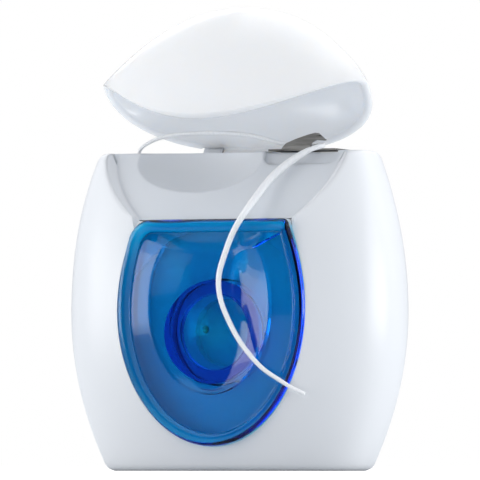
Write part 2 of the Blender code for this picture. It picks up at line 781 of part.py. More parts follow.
ROUTE = [
    (-16.4, 0.5, 46.4),
    (-16.2, 0.4, 48.0),
    (-15.0, 0.1, 48.95),
    (-12.8, 0.0, 49.8),
    (-8.6, -0.4, 50.35),
    (-3.7, -0.9, 50.4),
    (1.1, -1.4, 50.1),
    (4.4, -1.8, 49.5),
    (7.6, -2.2, 48.6),
    (11.0, -2.35, 48.2),
    (13.7, -2.45, 48.15),
    (14.7, -3.2, 48.15),
    (13.9, -4.2, 47.8),
    (11.5, -5.4, 46.45),
    (8.5, -7.2, 43.75),
    (6.7, -9.6, 40.55),
    (5.4, -12.05, 37.55),
    (4.2, -12.5, 35.35),
    (2.8, -12.95, 31.5),
    (2.1, -13.05, 29.0),
    (2.1, -13.1, 26.5),
    (2.55, -13.1, 24.6),
    (3.6, -13.1, 22.2),
    (5.15, -13.05, 19.4),
    (6.95, -12.95, 17.05),
    (8.9, -12.75, 15.05),
    (11.4, -12.4, 13.35),
    (13.05, -12.05, 12.3),
    (14.95, -11.4, 11.3),
]
strand("floss_strand", smooth_route(ROUTE, 1.9), FLOSS_R, STRAND_MAT)
bpy.context.view_layer.update()
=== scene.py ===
"""Flip-top dental floss dispenser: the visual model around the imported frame.

Shapes are drawn in millimetres with the frame's own dimensions and scaled to metres at the end.
"""

import math

import bmesh
import bpy
from mathutils import Matrix, Vector


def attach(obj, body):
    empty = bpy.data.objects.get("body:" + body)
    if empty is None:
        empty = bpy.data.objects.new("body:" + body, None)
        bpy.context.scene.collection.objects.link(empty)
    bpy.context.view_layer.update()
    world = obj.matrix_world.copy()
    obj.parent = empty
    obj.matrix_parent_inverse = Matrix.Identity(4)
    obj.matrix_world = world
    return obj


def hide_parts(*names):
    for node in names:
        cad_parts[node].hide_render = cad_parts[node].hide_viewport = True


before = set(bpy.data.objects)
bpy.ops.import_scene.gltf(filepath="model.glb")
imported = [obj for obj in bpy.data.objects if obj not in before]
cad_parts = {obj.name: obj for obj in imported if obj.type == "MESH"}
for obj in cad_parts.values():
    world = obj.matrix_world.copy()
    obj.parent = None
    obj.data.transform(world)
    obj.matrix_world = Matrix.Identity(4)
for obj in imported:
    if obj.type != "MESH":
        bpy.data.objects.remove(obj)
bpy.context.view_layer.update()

# ---------------------------------------------------------------- camera
CAM_AZ = math.radians(22.0)
CAM_FAR = 1.1
CAM_Z = 0.001
cam_data = bpy.data.cameras.new("camera")
cam_data.sensor_width = 36.0
cam_data.lens = 36.0 * 1100.0 / (480 * 0.149)
cam_data.clip_start = 0.05
cam_data.clip_end = 20.0
cam = bpy.data.objects.new("camera", cam_data)
bpy.context.scene.collection.objects.link(cam)
cam.location = (CAM_FAR * math.sin(CAM_AZ), -CAM_FAR * math.cos(CAM_AZ), CAM_Z)
aim = Vector((0.000134 * math.cos(CAM_AZ), 0.000134 * math.sin(CAM_AZ), 0.0344))
cam.rotation_euler = (aim - cam.location).to_track_quat("-Z", "Y").to_euler()
bpy.context.scene.camera = cam

# ---------------------------------------------------------------- driving dimensions (mm)
MM = 0.001
GAP = 0.3
HAIRLINE = 0.05

# case
DECK_Z = 47.4
MID_Z = 23.7
HALF_W_MID = 26.0
DROP_W_TOP = 4.6
DROP_W_BOTTOM = 5.8
DEPTH_MID = 12.5
DROP_FRONT_TOP = 5.7
DROP_FRONT_BOTTOM = 2.9
DROP_BACK_TOP = 1.1
DROP_BACK_BOTTOM = 1.7
PLAN_POWER = 2.6
PLAN_POWER_TOP = 3.8
WALL = 1.4
SEAM_Y = 8.5

# slanted scoop in front of the deck
SCOOP_FOOT = Vector((0.0, -9.222, 37.308))
SCOOP_UP = Vector((0.0, 0.493, 0.870)).normalized()
SCOOP_OUT = Vector((0.0, -0.870, 0.493)).normalized()
SCOOP_LENGTH = 11.6
SCOOP_HALF_LOW = 12.2
SCOOP_HALF_RISE = 5.8
SCOOP_DRAFT = 1.0
SCOOP_FILLET = 1.5
PLATE_SHIFT = Vector((0.0, 0.9, -1.3))
DIP_CENTRE = (-4.6, -7.8, 48.6)
DIP_RADII = (12.8, 6.8, 7.3)

# window insert
WIN_HALF = 14.9
WIN_MID_Z = 24.0
WIN_LOW = 20.3
WIN_TOP = 13.15
WIN_TAPER = 2.9
WIN_CORNER = 1.0
WIN_CORNER_CUT = 3.0
WIN_RIM_Y = -11.7
WIN_FLAT_Y = -12.1
SHELF_Y = (-8.5, -7.6)
SHELF_R = 15.4
SHELF_LEVELS = (1.2, 4.0, 9.0, 15.0, 21.0, 27.0, 32.0, 36.7)
LEDGE_Y = (-10.2, -9.2)
DISH_DEPTH = 1.3
FLAT_HALF = 9.6
FLAT_UP = 12.5
SMILE_UP = 8.2
SMILE_RISE = 0.8
SMILE_HALF = 7.3
FLAT_DOWN = 12.7

# spool on its axis
AXIS_Z = 20.5
HUB_R = 7.7
HUB_BORE_R = 5.75
HUB_END_Y = -7.6
POST_END_Y = -5.8
POST_BORE_R = 5.1
POST_WEB_Y = (-4.4, -3.2)
SPOOL_BORE_R = 8.0
SPOOL_CORE_R = 9.5
SPOOL_R = 16.4
SPOOL_Y = (-7.0, 8.0)
FLANGE = 0.8
WOUND_R = 15.7

# lid and hinge
HINGE_Y = 9.2
HINGE_Z = DECK_Z
LID_OPEN_DEG = 42.0
LID_HALF = 21.25
LID_MID_Y = -5.25
LID_BACK = 14.1
LID_FRONT = 8.55
LID_PLAN_FRONT = 1.82
LID_PLAN_BACK = 2.3
LID_LIP = 13.7
LID_LIP_POWER = 1.885
LID_HEIGHT = 11.1
LID_PEAK_Y = -8.0
LID_WALL = 1.3
LID_LIFT = 0.2
# roundness of the dome in plan and in height, at the front, the sides and the back
LID_FRONT_POWERS = (4.5, 3.3)
LID_SIDE_POWERS = (2.35, 1.12)
LID_BACK_POWERS = (2.0, 2.0)
KNUCKLE_R = 1.35
PIN_R = 0.75
BARREL_HALF = 5.7
KNUCKLE_X = (6.0, 9.0)

# cutter and floss
CUTTER_T = 0.3
TOOTH_Y = -3.3
FLOSS_R = 0.4
HOLE = (-16.4, 0.5)
HOLE_R = 0.9


# ---------------------------------------------------------------- helpers
def make_object(name, bm):
    bmesh.ops.recalc_face_normals(bm, faces=bm.faces)
    mesh = bpy.data.meshes.new(name)
    bm.to_mesh(mesh)
    bm.free()
    ob = bpy.data.objects.new(name, mesh)
    bpy.context.scene.collection.objects.link(ob)
    return ob


def loft(name, loops, closed_tube=False):
    """Skin closed loops of equal length; flat ends are filled unless the tube closes on itself."""
    bm = bmesh.new()
    rows = [[bm.verts.new(p) for p in loop] for loop in loops]
    n = len(rows[0])
    pairs = list(zip(rows, rows[1:]))
    if closed_tube:
        pairs.append((rows[-1], rows[0]))
    for a, b in pairs:
        for i in range(n):
            bm.faces.new((a[i], a[(i + 1) % n], b[(i + 1) % n], b[i]))
    if not closed_tube:
        bm.faces.new(rows[0])
        bm.faces.new(list(reversed(rows[-1])))
    return make_object(name, bm)


def loft_with_tips(name, loops, first_tip, last_tip):
    """Skin loops and close both ends with a fan to a point."""
    bm = bmesh.new()
    rows = [[bm.verts.new(p) for p in loop] for loop in loops]
    n = len(rows[0])
    for a, b in zip(rows, rows[1:]):
        for i in range(n):
            bm.faces.new((a[i], a[(i + 1) % n], b[(i + 1) % n], b[i]))
    tip = bm.verts.new(first_tip)
    for i in range(n):
        bm.faces.new((tip, rows[0][(i + 1) % n], rows[0][i]))
    tip = bm.verts.new(last_tip)
    for i in range(n):
        bm.faces.new((tip, rows[-1][i], rows[-1][(i + 1) % n]))
    return make_object(name, bm)


def box(name, low, high):
    bm = bmesh.new()
    bmesh.ops.create_cube(bm, size=1.0)
    low, high = Vector(low), Vector(high)
    for v in bm.verts:
        v.co = Vector(low[i] + (v.co[i] + 0.5) * (high[i] - low[i]) for i in range(3))
    return make_object(name, bm)


def rod_x(name, x0, x1, y, z, r, sides=20):
    loops = [
        [
            (x, y + r * math.cos(2 * math.pi * i / sides), z + r * math.sin(2 * math.pi * i / sides))
            for i in range(sides)
        ]
        for x in (x0, x1)
    ]
    return loft(name, loops)


def rod_z(name, x, y, z0, z1, r, sides=20):
    loops = [
        [
            (x + r * math.cos(2 * math.pi * i / sides), y + r * math.sin(2 * math.pi * i / sides), z)
            for i in range(sides)
        ]
        for z in (z0, z1)
    ]
    return loft(name, loops)


def turned_y(name, profile, z_axis, sides):
    """Turn a closed profile of (radius, y) about the line x = 0, z = z_axis."""
    loops = []
    for i in range(sides):
        a = 2 * math.pi * i / sides
        loops.append([(r * math.cos(a), y, z_axis + r * math.sin(a)) for r, y in profile])
    return loft(name, loops, closed_tube=True)


def boolean(ob, cutter, operation="DIFFERENCE", keep=False):
    mod = ob.modifiers.new("cut", "BOOLEAN")
    mod.solver = "EXACT"
    mod.operation = operation
    mod.object = cutter
    bpy.context.view_layer.update()
    deps = bpy.context.evaluated_depsgraph_get()
    mesh = bpy.data.meshes.new_from_object(ob.evaluated_get(deps))
    ob.modifiers.remove(mod)
    bm = bmesh.new()
    bm.from_mesh(mesh)
    bmesh.ops.remove_doubles(bm, verts=bm.verts, dist=0.003)
    bmesh.ops.dissolve_degenerate(bm, edges=bm.edges, dist=0.001)
    bm.to_mesh(mesh)
    bm.free()
    ob.data = mesh
    if not keep:
        bpy.data.objects.remove(cutter, do_unlink=True)
    return ob


def clone(ob, name):
    other = ob.copy()
    other.data = ob.data.copy()
    other.name = name
    bpy.context.scene.collection.objects.link(other)
    return other


def signed_power(value, power):
    return math.copysign(abs(value) ** power, value)


# ---------------------------------------------------------------- case outline
def half_width(z):
    if z > MID_Z:
        return HALF_W_MID - DROP_W_TOP * ((z - MID_Z) / (DECK_Z - MID_Z)) ** 2
    return HALF_W_MID - DROP_W_BOTTOM * ((MID_Z - z) / MID_Z) ** 2


def depth_front(z):
    if z > 22.0:
        return DEPTH_MID - DROP_FRONT_TOP * ((z - 22.0) / 25.4) ** 2.2
    return DEPTH_MID - DROP_FRONT_BOTTOM * ((22.0 - z) / 22.0) ** 2


def depth_back(z):
    if z > MID_Z:
        return DEPTH_MID - DROP_BACK_TOP * ((z - MID_Z) / (DECK_Z - MID_Z)) ** 2
    return DEPTH_MID - DROP_BACK_BOTTOM * ((MID_Z - z) / MID_Z) ** 2


def case_ring(z, inset, count=144, shape_z=None):
    s = z if shape_z is None else shape_z
    a = half_width(s) - inset
    bf = depth_front(s) - inset
    bb = depth_back(s) - inset
    front = PLAN_POWER + (PLAN_POWER_TOP - PLAN_POWER) * (max(s - 26.0, 0.0) / (DECK_Z - 26.0)) ** 1.5
    ring = []
    for i in range(count):
        t = 2 * math.pi * i / count
        c, n = math.cos(t), math.sin(t)
        power = PLAN_POWER if n > 0 else front
        y = signed_power(n, 2 / power) * (bb if n > 0 else bf)
        ring.append((a * signed_power(c, 2 / power), y, z))
    return ring


def case_envelope(name):
    levels = [(0.0, 0.9), (0.1, 0.6), (0.3, 0.3), (0.6, 0.1), (1.0, 0.0)]
    levels += [(1.0 + 45.2 * k / 34, 0.0) for k in range(1, 35)]
    levels += [(46.6, 0.05), (46.9, 0.14), (47.15, 0.3), (47.3, 0.48), (DECK_Z, 0.75)]
    return loft(name, [case_ring(z, inset) for z, inset in levels])


def scoop_half(v):
    if v <= 0.0:
        return SCOOP_HALF_LOW
    f = min(v, SCOOP_LENGTH) / SCOOP_LENGTH
    return SCOOP_HALF_LOW + SCOOP_HALF_RISE * (1 - (1 - f) ** 1.9)


def scoop_prism(name, levels, steps=16, v_low=-3.0, v_high=14.0):
    """Solid on the scoop plane between its two creases; levels = (height off the plane, sideways growth)."""
    vs = [v_low] + [SCOOP_LENGTH * k / steps for k in range(steps + 1)] + [v_high]
    loops = []
    for n, grow in levels:
        right = [(scoop_half(v) + grow, v) for v in vs]
        left = [(-x, v) for x, v in reversed(right)]
        loops.append([SCOOP_FOOT + Vector((x, 0, 0)) + SCOOP_UP * v + SCOOP_OUT * n for x, v in right + left])
    return loft(name, loops)


def scoop_levels():
    """The scoop's floor runs into its side walls through a fillet."""
    lean = math.atan2(1.0, SCOOP_DRAFT)
    run = SCOOP_FILLET * math.tan(lean / 2)
    levels = []
    for k in range(9):
        a = lean * k / 8
        levels.append((SCOOP_FILLET * (1 - math.cos(a)), SCOOP_FILLET * math.sin(a) - run))
    n, grow = levels[-1]
    levels.append((7.0, grow + (7.0 - n) * SCOOP_DRAFT))
    return levels


def scoop_block(name, x0, x1, v0, v1, n0, n1, r=1.5):
    """Block on the scoop plane whose two lower corners are rounded."""
    turn = [math.pi / 2 * k / 8 for k in range(9)]
    outline = [(x0, v1)]
    outline += [(x0 + r - r * math.cos(a), v0 + r - r * math.sin(a)) for a in turn]
    outline += [(x1 - r + r * math.sin(a), v0 + r - r * math.cos(a)) for a in turn]
    outline.append((x1, v1))
    loops = []
    for n in (n0, n1):
        loops.append([SCOOP_FOOT + Vector((x, 0, 0)) + SCOOP_UP * v + SCOOP_OUT * n for x, v in outline])
    return loft(name, loops)


def finger_dip(name):
    bm = bmesh.new()
    bmesh.ops.create_uvsphere(bm, u_segments=72, v_segments=40, radius=1.0)
    for v in bm.verts:
        v.co = Vector(DIP_CENTRE[i] + DIP_RADII[i] * v.co[i] for i in range(3))
    return make_object(name, bm)


def deck_region(name, inset, z0, z1):
    return loft(name, [case_ring(z, inset, shape_z=46.6) for z in (z0, z1)])


# ---------------------------------------------------------------- window outline
def window_loop(inset, y, taper_flange=False):
    """D outline: flat top, one corner rounded and the other cut back, bulging sides, elliptical foot."""
    half = WIN_HALF - inset
    low = WIN_LOW - inset
    top = WIN_MID_Z + WIN_TOP - inset

    def side(z):
        return half - WIN_TAPER * (max(z - WIN_MID_Z, 0.0) / WIN_TOP) ** 1.9

    def shoulder(corner, power):
        rise = [WIN_MID_Z + (top - corner - WIN_MID_Z) * (k + 1) / 14 for k in range(14)]
        pts = [(side(z), z) for z in rise]
        cx = side(top - corner) - corner
        for k in range(1, 7):
            a = math.pi / 2 * k / 6
            pts.append((cx + corner * abs(math.cos(a)) ** power, top - corner + corner * math.sin(a) ** power))
        return pts, cx

    right, cx = shoulder(max(WIN_CORNER - 0.4 * inset, 0.3), 1.0)
    left, cut = shoulder(max(WIN_CORNER_CUT - 0.55 * inset, 0.3), 1.25)
    points = []
    for k in range(81):
        a = math.pi * k / 80
        points.append((-half * math.cos(a), WIN_MID_Z - low * math.sin(a)))
    points += right
    points += [(cx - (cx + cut) * k / 10, top) for k in range(1, 10)]
    points += [(-x, z) for x, z in reversed(left)]
    if taper_flange:
        plain = window_loop(0.0, y)
        mixed = []
        for (x, z), (px, _, pz) in zip(points, plain):
            w = min(max((35.5 - z) / 3.0, 0.0), 1.0)
            mixed.append((px + (x - px) * w, y, pz + (z - pz) * w))
        return mixed
    return [(x, y, z) for x, z in points]


MITRE = math.atan2(SMILE_UP + SMILE_RISE, SMILE_HALF)
MITRE_RIGHT, MITRE_LEFT = 97, 113


def dish_angles():
    """Angle on the dish's edge for each point of the D outline; the top corners run to the two mitres."""
    raw = [math.atan2(z - WIN_MID_Z, x) for x, _, z in window_loop(0.0, 0.0)]
    first, last = raw[MITRE_RIGHT], raw[MITRE_LEFT]
    out = []
    for i, a in enumerate(raw):
        if i <= 80 or a <= 0.0:
            out.append(a)
        elif a < first:
            out.append(a / first * MITRE)
        elif a <= last:
            out.append(MITRE + (a - first) / (last - first) * (math.pi - 2 * MITRE))
        else:
            out.append(math.pi - MITRE + (a - last) / (math.pi - last) * MITRE)
    return out


DISH_ANGLES = dish_angles()


def flat_loop(scale, y):
    """Outline of the dished middle, one point for each point of the D outline; its top edge sags between the mitres."""
    loop = []
    for a in DISH_ANGLES:
        c, n = math.cos(a), math.sin(a)
        if n > 0 and MITRE < a < math.pi - MITRE:
            bow = SMILE_RISE / SMILE_HALF**2 * c * c
            r = 2 * SMILE_UP / (n + math.sqrt(n * n - 4 * bow * SMILE_UP))
        else:
            up, power = (FLAT_UP, 2.3) if n > 0 else (FLAT_DOWN, 2.0)
            r = ((abs(c) / FLAT_HALF) ** power + (abs(n) / up) ** power) ** (-1 / power)
        loop.append((scale * r * c, y, WIN_MID_Z + scale * r * n))
    return loop


def dish_front(x, z):
    """Front face of the dish: a trough that is flat in the middle and slopes evenly up to its edge on both sides."""
    dz = z - WIN_MID_Z
    up, power, fall = (FLAT_UP, 2.3, 0.0) if dz > 0 else (FLAT_DOWN, 2.0, 0.7)
    wide = max(1 - (abs(dz) / up) ** power, 0.0) ** (1 / power)
    if wide < 0.01:
        return WIN_FLAT_Y
    low, high = 0.4, 0.62

    def run(u):
        if u <= low:
            return 0.0
        if u >= high:
            return (high - low) / 2 + (u - high)
        t = (u - low) / (high - low)
        return (high - low) * (t**3 - t**4 / 2)

    u = min(abs(x) / (FLAT_HALF * wide), 1.0)
    return WIN_FLAT_Y + DISH_DEPTH * wide**fall * (1 - run(u) / run(1.0))


def edge_loop(scale, back):
    """Loop just outside the dish's edge, at the depth that the dish has at its edge."""
    inner = flat_loop(1.0, 0.0)
    return [(x, dish_front(px, pz) + back, z) for (x, _, z), (px, _, pz) in zip(flat_loop(scale, 0.0), inner)]


def dish_loop(scale, back=0.0):
    return [(x, dish_front(x, z) + back, z) for x, _, z in flat_loop(scale, 0.0)]


def groove_loop(inset, y):
    """Foot of the rim, a little deeper along the top edge, where the dish runs up to it."""
    return [(x, y + 0.27 * min(max((z - 33.0) / 1.2, 0.0), 1.0), z) for x, y, z in window_loop(inset, y)]


def hub_loop(radius, y=None, back=1.2):
    """Circle round the spool's axis; without y it lies behind the front of the dish."""
    loop = []
    for x, _, z in flat_loop(1.0, 0.0):
        a = math.atan2(z - AXIS_Z, x)
        x, z = radius * math.cos(a), AXIS_Z + radius * math.sin(a)
        loop.append((x, dish_front(x, z) + back if y is None else y, z))
    return loop


# ---------------------------------------------------------------- lid surface
def lid_rim(phi, inset):
    s, c = math.sin(phi), math.cos(phi)
    half = LID_HALF - inset
    power = LID_PLAN_FRONT if c >= 0 else LID_PLAN_BACK
    x = half * signed_power(s, 2 / power)
    if c >= 0:
        y = LID_MID_Y - (LID_FRONT - inset) * abs(c) ** (2 / power)
        z = -LID_LIP * (1 - min(abs(x / half), 1.0) ** LID_LIP_POWER)
    else:
        y = LID_MID_Y + (LID_BACK - inset) * abs(c) ** (2 / power)
        z = 0.0
    return x, y, z


def lid_loop(f, inset, count=64):
    """Loop at fraction f from the rim (0) to the crown (1)."""
    loop = []
    for i in range(count):
        phi = -math.pi + 2 * math.pi * i / count
        x, y, z = lid_rim(phi, inset)
        c = math.cos(phi)
        end = LID_FRONT_POWERS if c >= 0 else LID_BACK_POWERS
        plan, rise = (s + (e - s) * c * c for s, e in zip(LID_SIDE_POWERS, end))
        r = math.cos(f * math.pi / 2) ** (2 / plan)
        h = math.sin(f * math.pi / 2) ** (2 / rise)
        top = LID_HEIGHT - inset
        loop.append((x * r, LID_PEAK_Y + (y - LID_PEAK_Y) * r, DECK_Z + LID_LIFT + z + (top - z) * h))
    return loop


# ---------------------------------------------------------------- smooth route for the floss
def smooth_route(points, step):
    """Natural cubic spline through the points by chord length, read at even steps."""
    pts = [Vector(p) for p in points]
    t = [0.0]
    for a, b in zip(pts, pts[1:]):
        t.append(t[-1] + (b - a).length)
    n = len(pts)
    h = [t[i + 1] - t[i] for i in range(n - 1)]
    second = [[0.0] * n for _ in range(3)]
    for k in range(3):
        y = [p[k] for p in pts]
        lower, diag, rhs = [0.0] * n, [1.0] * n, [0.0] * n
        upper = [0.0] * n
        for i in range(1, n - 1):
            lower[i] = h[i - 1]
            diag[i] = 2 * (h[i - 1] + h[i])
            upper[i] = h[i]
            rhs[i] = 6 * ((y[i + 1] - y[i]) / h[i] - (y[i] - y[i - 1]) / h[i - 1])
        for i in range(1, n):
            w = lower[i] / diag[i - 1]
            diag[i] -= w * upper[i - 1]
            rhs[i] -= w * rhs[i - 1]
        m = [0.0] * n
        m[-1] = rhs[-1] / diag[-1]
        for i in range(n - 2, -1, -1):
            m[i] = (rhs[i] - upper[i] * m[i + 1]) / diag[i]
        second[k] = m

    def at(u):
        i = 0
        while i < n - 2 and u > t[i + 1]:
            i += 1
        a, b = (t[i + 1] - u) / h[i], (u - t[i]) / h[i]
        return Vector(
            a * pts[i][k] + b * pts[i + 1][k] + ((a**3 - a) * second[k][i] + (b**3 - b) * second[k][i + 1]) * h[i] ** 2 / 6
            for k in range(3)
        )

    fine = [at(t[-1] * i / 2000) for i in range(2001)]
    run = [0.0]
    for a, b in zip(fine, fine[1:]):
        run.append(run[-1] + (b - a).length)
    count = max(2, round(run[-1] / step))
    out, j = [], 0
    for i in range(count + 1):
        want = run[-1] * i / count
        while j < 1999 and run[j + 1] < want:
            j += 1
        span = run[j + 1] - run[j]
        out.append(fine[j].lerp(fine[j + 1], min(max((want - run[j]) / span, 0.0), 1.0)))
    return out


# ---------------------------------------------------------------- node materials
class Mat:
    """A small helper around one material's node tree."""

    def __init__(self, name):
        self.mat = bpy.data.materials.new(name)
        self.mat.use_nodes = True
        self.tree = self.mat.node_tree
        self.bsdf = self.tree.nodes["Principled BSDF"]

    def node(self, kind, **values):
        n = self.tree.nodes.new(kind)
        for key, value in values.items():
            setattr(n, key, value)
        return n

    def link(self, a, b):
        self.tree.links.new(a, b)

    def set(self, **values):
        for key, value in values.items():
            self.bsdf.inputs[key.replace("_", " ")].default_value = value

    def coords(self, scale=(1.0, 1.0, 1.0)):
        tc = self.node("ShaderNodeTexCoord")
        mp = self.node("ShaderNodeMapping")
        mp.inputs["Scale"].default_value = scale
        self.link(tc.outputs["Object"], mp.inputs["Vector"])
        return mp.outputs["Vector"]

    def noise(self, scale, detail=3.0, rough=0.5, stretch=(1.0, 1.0, 1.0)):
        n = self.node("ShaderNodeTexNoise")
        n.inputs["Scale"].default_value = scale
        n.inputs["Detail"].default_value = detail
        n.inputs["Roughness"].default_value = rough
        self.link(self.coords(stretch), n.inputs["Vector"])
        return n.outputs["Fac"]

    def ramp(self, source, stops):
        r = self.node("ShaderNodeValToRGB")
        els = r.color_ramp.elements
        while len(els) < len(stops):
            els.new(0.5)
        for el, (pos, colour) in zip(els, stops):
            el.position = pos
            el.color = colour if len(colour) == 4 else (*colour, 1.0)
        self.link(source, r.inputs["Fac"])
        return r.outputs["Color"]

    def span(self, source, low, high, from_low=0.0, from_high=1.0):
        m = self.node("ShaderNodeMapRange")
        m.inputs["From Min"].default_value = from_low
        m.inputs["From Max"].default_value = from_high
        m.inputs["To Min"].default_value = low
        m.inputs["To Max"].default_value = high
        self.link(source, m.inputs["Value"])
        return m.outputs["Result"]

    def math(self, op, a, b=None):
        m = self.node("ShaderNodeMath", operation=op)
        for i, v in enumerate((a, b)):
            if v is None:
                continue
            if isinstance(v, (int, float)):
                m.inputs[i].default_value = v
            else:
                self.link(v, m.inputs[i])
        return m.outputs[0]

    def soft_edges(self, radius, wide=None):
        """Rounded moulded edges; wide = (radius, start, full) rounds more beside the scoop's crease.

        Start and full are millimetres out from the crease (negative is towards the middle), above the scoop's foot.
        """
        b = self.node("ShaderNodeBevel", samples=6)
        b.inputs["Radius"].default_value = radius
        if wide is not None:
            big, start, full = wide
            tc = self.node("ShaderNodeTexCoord")
            split = self.node("ShaderNodeSeparateXYZ")
            self.link(tc.outputs["Object"], split.inputs[0])
            height = self.span(split.outputs["Z"], 0.0, 1.0, SCOOP_FOOT.z * MM, (SCOOP_FOOT.z + SCOOP_UP.z * SCOOP_LENGTH) * MM)
            rest = self.math("POWER", self.math("SUBTRACT", 1.0, height), 1.9)
            crease = self.math("SUBTRACT", (SCOOP_HALF_LOW + SCOOP_HALF_RISE) * MM, self.math("MULTIPLY", rest, SCOOP_HALF_RISE * MM))
            out = self.math("SUBTRACT", self.math("ABSOLUTE", split.outputs["X"]), crease)
            if start > full:
                beside = self.span(out, 1.0, 0.0, full * MM, start * MM)
            else:
                beside = self.span(out, 0.0, 1.0, start * MM, full * MM)
            above = self.span(split.outputs["Z"], 0.0, 1.0, 0.0365, 0.0385)
            ahead = self.span(split.outputs["Y"], 1.0, 0.0, -0.003, -0.0015)
            zone = self.math("MULTIPLY", above, ahead)
            total = self.span(self.math("MULTIPLY", beside, zone), radius, big)
            seam = self.span(self.math("ABSOLUTE", out), 1.0, 0.0, 0.15 * MM, 0.35 * MM)
            keep = self.math("SUBTRACT", 1.0, self.math("MULTIPLY", seam, zone))
            self.link(self.math("MULTIPLY", total, keep), b.inputs["Radius"])
        return b.outputs["Normal"]

    def bump(self, height, strength, distance, base=None):
        b = self.node("ShaderNodeBump")
        b.inputs["Strength"].default_value = strength
        b.inputs["Distance"].default_value = distance
        self.link(height, b.inputs["Height"])
        if base is not None:
            self.link(base, b.inputs["Normal"])
        return b.outputs["Normal"]


def moulded_white(name, low, high, roughness, subsurface=0.6, edge=0.0005, wide=None):
    """Slightly translucent white polypropylene: faint colour drift, fine orange peel, light handling marks."""
    m = Mat(name)
    drift = m.noise(28.0, 1.0, 0.4)
    m.link(m.ramp(drift, [(0.2, low), (0.8, high)]), m.bsdf.inputs["Base Color"])
    rubbed = m.noise(900.0, 4.0, 0.6)
    m.link(m.span(rubbed, roughness - 0.008, roughness + 0.012, 0.3, 0.7), m.bsdf.inputs["Roughness"])
    peel = m.noise(1700.0, 2.0, 0.5)
    m.link(m.bump(peel, 0.03, 0.00002, m.soft_edges(edge, wide)), m.bsdf.inputs["Normal"])
    m.set(IOR=1.49)
    m.set(Subsurface_Weight=subsurface)
    m.bsdf.inputs["Subsurface Radius"].default_value = (0.9, 1.0, 1.15)
    m.bsdf.inputs["Subsurface Scale"].default_value = 0.004
    return m.mat


CASE_MAT = moulded_white("case_plastic", (0.845, 0.855, 0.872), (0.86, 0.87, 0.887), 0.3, 0.0, 0.0001, (0.0014, 0.4, 1.2))
BACK_MAT = moulded_white("back_plastic", (0.845, 0.855, 0.872), (0.86, 0.87, 0.887), 0.3, 0.0, 0.0001)
# The top deck's base colour is greyer and bluer than the case's white: painted shade, standing for the lid's shadow
# over the scoop.
TOP_SHADED_MAT = moulded_white("top_plastic_painted_shade", (0.765, 0.79, 0.83), (0.785, 0.81, 0.845), 0.3, 0.2, 0.00005, (0.0007, -0.9, -1.6))
LID_MAT = moulded_white("lid_plastic", (0.85, 0.853, 0.862), (0.865, 0.868, 0.875), 0.22, 1.0, 0.0003)


def blue_clear():
    """Tinted clear plastic: the tint sits in the body, so it is deeper where the wall is thick, as round the hub."""
    m = Mat("window_plastic")
    flow = m.noise(60.0, 2.0, 0.5, (1.0, 1.0, 0.3))
    m.link(m.ramp(flow, [(0.25, (0.86, 0.97, 1.0)), (0.75, (0.93, 0.99, 1.0))]), m.bsdf.inputs["Base Color"])
    marks = m.noise(420.0, 4.0, 0.6)
    m.link(m.span(marks, 0.02, 0.07, 0.35, 0.7), m.bsdf.inputs["Roughness"])
    ripple = m.noise(120.0, 1.0, 0.4)
    m.link(m.bump(ripple, 0.06, 0.0003), m.bsdf.inputs["Normal"])
    m.set(IOR=1.45)
    m.set(Transmission_Weight=1.0)
    body = m.node("ShaderNodeVolumeAbsorption")
    body.inputs["Color"].default_value = (0.0, 0.916, 0.997, 1.0)
    body.inputs["Density"].default_value = 4500.0
    m.link(body.outputs["Volume"], m.tree.nodes["Material Output"].inputs["Volume"])
    return m.mat


BLUE_MAT = blue_clear()


def brushed_steel():
    m = Mat("cutter_metal")
    grain = m.noise(2600.0, 5.0, 0.65, (0.06, 1.0, 1.0))
    m.link(m.ramp(grain, [(0.3, (0.20, 0.19, 0.18)), (0.7, (0.40, 0.39, 0.37))]), m.bsdf.inputs["Base Color"])
    m.link(m.span(grain, 0.24, 0.46, 0.3, 0.7), m.bsdf.inputs["Roughness"])
    m.link(m.bump(grain, 0.2, 0.00002), m.bsdf.inputs["Normal"])
    m.set(Metallic=1.0)
    return m.mat


STEEL_MAT = brushed_steel()


def floss_fibre(name, scale, stretch):
    m = Mat(name)
    fibre = m.noise(scale, 5.0, 0.6, stretch)
    m.link(m.ramp(fibre, [(0.3, (0.91, 0.92, 0.94)), (0.6, (0.98, 0.985, 0.99))]), m.bsdf.inputs["Base Color"])
    m.link(m.span(fibre, 0.42, 0.62, 0.3, 0.7), m.bsdf.inputs["Roughness"])
    m.link(m.bump(fibre, 0.25, 0.00004), m.bsdf.inputs["Normal"])
    m.set(Sheen_Weight=0.2)
    m.set(Subsurface_Weight=0.5)
    m.bsdf.inputs["Subsurface Radius"].default_value = (1.0, 1.0, 1.0)
    m.bsdf.inputs["Subsurface Scale"].default_value = 0.0006
    return m.mat


FLOSS_MAT = floss_fibre("floss_fibre", 3200.0, (1.0, 1.0, 0.4))
WOUND_MAT = floss_fibre("floss_wound", 2600.0, (1.0, 3.0, 1.0))


def natural_spool():
    m = Mat("spool_plastic")
    drift = m.noise(70.0, 2.0, 0.5)
    m.link(m.ramp(drift, [(0.3, (0.93, 0.935, 0.94)), (0.7, (0.96, 0.963, 0.966))]), m.bsdf.inputs["Base Color"])
    rub = m.noise(600.0, 4.0, 0.6)
    m.link(m.span(rub, 0.38, 0.55, 0.3, 0.7), m.bsdf.inputs["Roughness"])
    m.link(m.bump(rub, 0.12, 0.00004), m.bsdf.inputs["Normal"])
    return m.mat


SPOOL_MAT = natural_spool()


